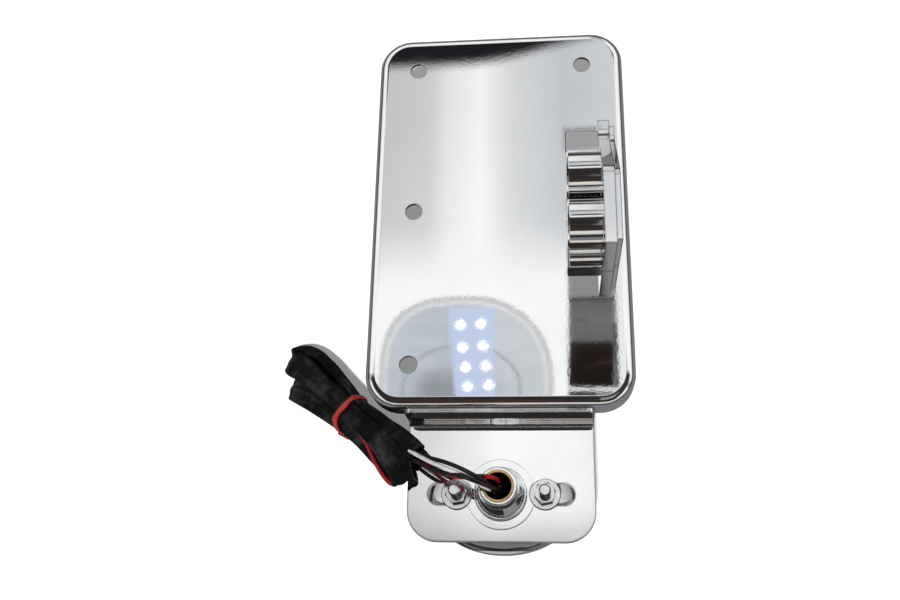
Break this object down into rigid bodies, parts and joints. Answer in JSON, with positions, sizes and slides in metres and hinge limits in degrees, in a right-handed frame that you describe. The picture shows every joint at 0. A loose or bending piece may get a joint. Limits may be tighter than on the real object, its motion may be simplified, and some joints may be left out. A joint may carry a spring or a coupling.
{
  "type": "side mount license plate holder",
  "caption": "Chromed tray that holds a motorbike number plate upright, with a side mount bracket, a tail lamp on a lower tab and a tied wire harness.",
  "frame": {"origin": "middle of the side mount's two bolt holes, on the outer face that meets the bike", "axes": "+X out of the side mount's outer face and across the plate, +Y along the plate to its top edge, +Z out of the plate's back"},
  "size_m": [0.1642, 0.2369, 0.0795],
  "materials": {
    "chrome_plate": "mirror chrome",
    "chrome_bracket": "mirror chrome",
    "chrome_turned": "polished turned chrome",
    "zinc_hardware": "bright zinc",
    "brass_bush": "turned brass",
    "lamp_body": "bright chrome lamp body",
    "lamp_trim": "bright chrome trim ring",
    "black_rubber": "soft black rubber",
    "clear_window": "clear moulded window",
    "red_lens": "red moulded lens",
    "circuit_board": "green laminate",
    "led_epoxy": "clear epoxy",
    "wire_black_pvc": "soft wire insulation",
    "wire_red_pvc": "soft wire insulation",
    "wire_white_pvc": "soft wire insulation",
    "sleeve_pvc": "limp black sleeve",
    "red_tie": "soft red band"
  },
  "bodies": {
    "root": {"back_plate": "chrome_plate", "mount_angle": "chrome_bracket", "mount_backer": "chrome_bracket", "upper_boss": "chrome_turned", "lower_boss": "chrome_turned", "lamp_bracket": "chrome_bracket", "lamp_gasket": "black_rubber", "lamp_housing": "lamp_body", "plate_light_window": "clear_window", "led_board": "circuit_board", "leds": "led_epoxy", "lens_seal": "black_rubber", "lens": "red_lens", "lens_bezel": "lamp_trim", "lens_screws": "zinc_hardware", "mounting_studs": "zinc_hardware", "stud_washers": "zinc_hardware", "stud_nuts": "zinc_hardware", "ferrule_washer": "chrome_turned", "cable_ferrule": "chrome_turned", "ferrule_bush": "brass_bush", "wire_black": "wire_black_pvc", "wire_lower_black": "wire_black_pvc", "wire_red": "wire_red_pvc", "wire_white": "wire_white_pvc", "harness_hank": "sleeve_pvc", "tie_band": "red_tie"}
  },
  "joints": []
}
